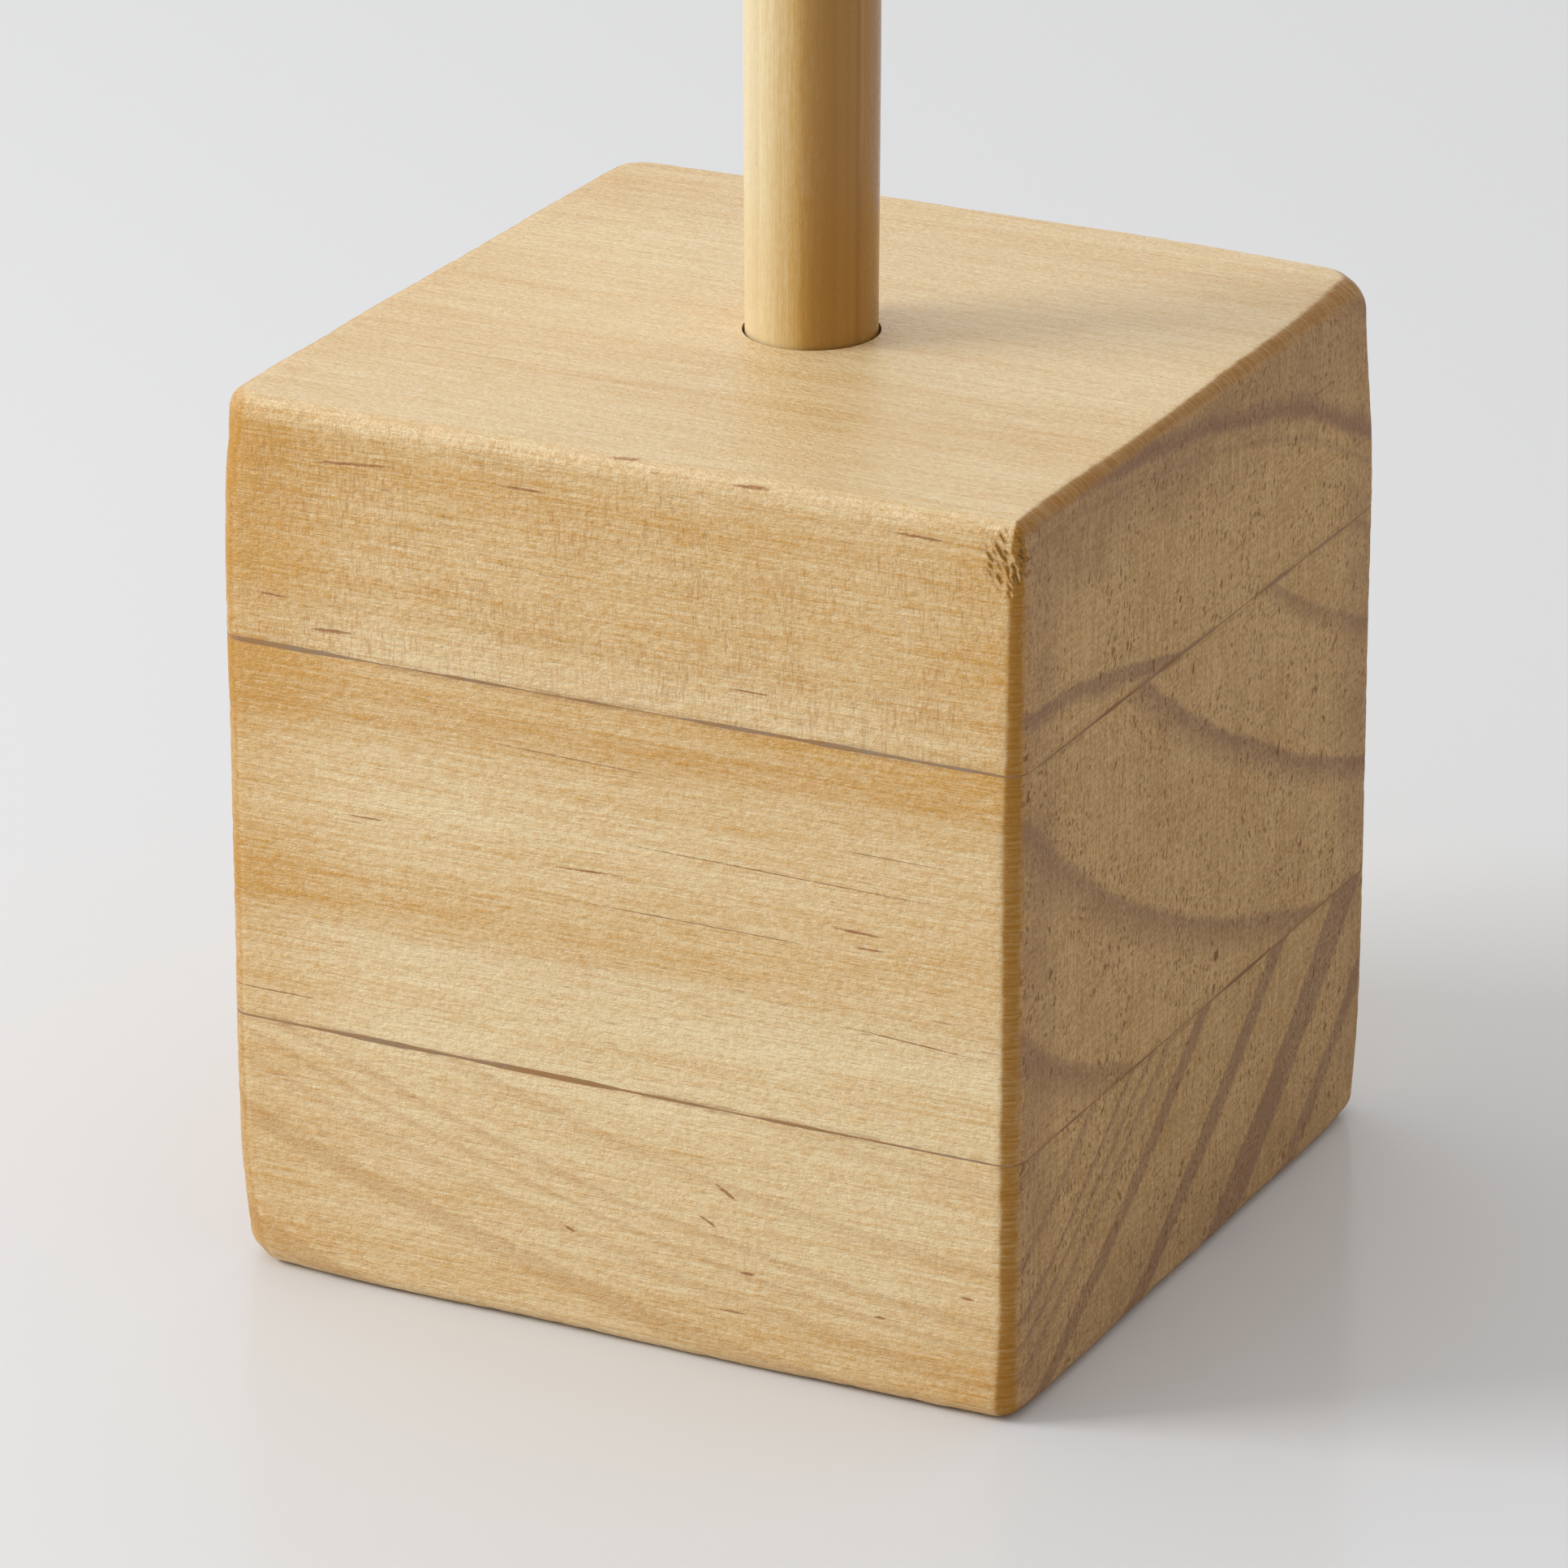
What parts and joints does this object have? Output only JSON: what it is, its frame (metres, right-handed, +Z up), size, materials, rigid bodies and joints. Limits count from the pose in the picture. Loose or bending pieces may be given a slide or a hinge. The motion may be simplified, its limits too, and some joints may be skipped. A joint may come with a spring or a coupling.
{
  "type": "paper towel holder",
  "caption": "Free-standing towel holder: a heavy square block laminated from boards, with an upright round dowel that drops into a socket in its top and carries the roll.",
  "frame": {"origin": "middle of the block's underside, where it rests", "axes": "+Z up along the dowel; +X along the boards' grain, so the end grain faces +X and -X; -Y is the front face"},
  "size_m": [0.102, 0.102, 0.397],
  "materials": {
    "pine_top": "sanded, clear satin oil",
    "pine_middle": "sanded, clear satin oil",
    "pine_bottom": "sanded, clear satin oil",
    "glue": "hard dried wood glue",
    "dowel_wood": "turned and sanded, clear satin oil"
  },
  "bodies": {
    "block": {"bottom_board": "pine_bottom", "lower_glue_line": "glue", "middle_board": "pine_middle", "upper_glue_line": "glue", "top_board": "pine_top"},
    "post": {"dowel": "dowel_wood"}
  },
  "joints": [
    {"name": "post_lift", "type": "slide", "parent": "block", "child": "post", "axis": [0, 0, 1], "range_m": [0, 0.075]}
  ]
}
